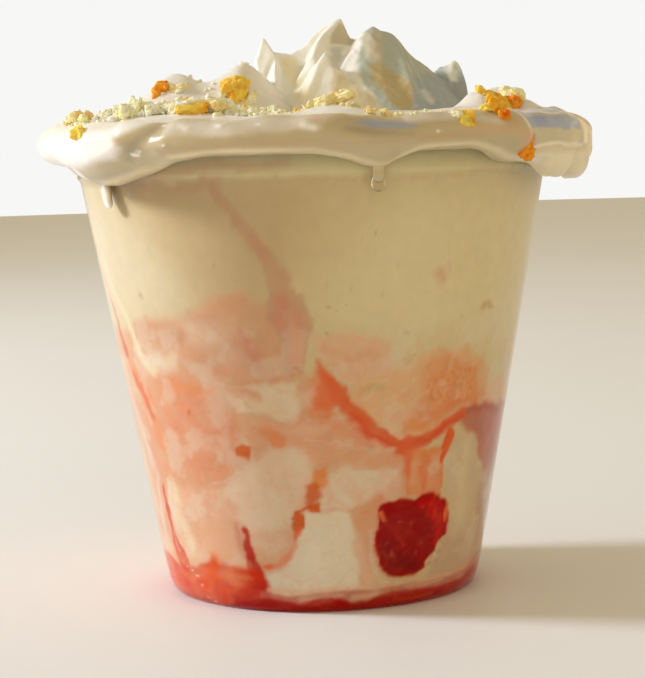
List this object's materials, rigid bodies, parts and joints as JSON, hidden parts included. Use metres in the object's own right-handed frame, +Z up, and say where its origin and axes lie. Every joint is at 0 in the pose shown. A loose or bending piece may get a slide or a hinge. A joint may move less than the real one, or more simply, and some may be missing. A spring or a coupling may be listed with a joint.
{
  "type": "banana pudding",
  "caption": "Clear plastic cup of banana pudding streaked with strawberry, heaped over the rim with cream, whipped cream and cake pieces.",
  "frame": {"origin": "centre of the cup's foot, on the surface that the cup stands on", "axes": "+Z up along the cup's axis, -Y towards the side that the picture shows, +X to the right in it"},
  "size_m": [0.1057, 0.1035, 0.1089],
  "materials": {
    "clear_plastic": "clear, smooth and glossy",
    "pudding": "smooth moist pudding with strawberry streaks",
    "strawberry_sauce": "wet dark red sauce",
    "strawberry": "wet fruit with pale seeds",
    "soaked_cake": "cake soaked with strawberry juice",
    "cream": "thick cream with a soft gloss",
    "whipped_cream": "soft whipped peaks",
    "cake": "crumbly golden cake"
  },
  "bodies": {
    "root": {"cup": "clear_plastic", "pudding": "pudding", "strawberry_sauce": "strawberry_sauce", "strawberry_piece": "strawberry", "soaked_cake_piece": "soaked_cake", "cream_layer": "cream", "whipped_cream": "whipped_cream", "cake_piece_right": "cake", "cake_piece_left": "cake", "cake_piece_far_left": "cake", "wafer_slice_front": "cake", "wafer_heap_front": "cake", "cake_piece_back": "cake", "cake_piece_back_right": "cake", "wafer_slice_back": "cake"}
  },
  "joints": []
}
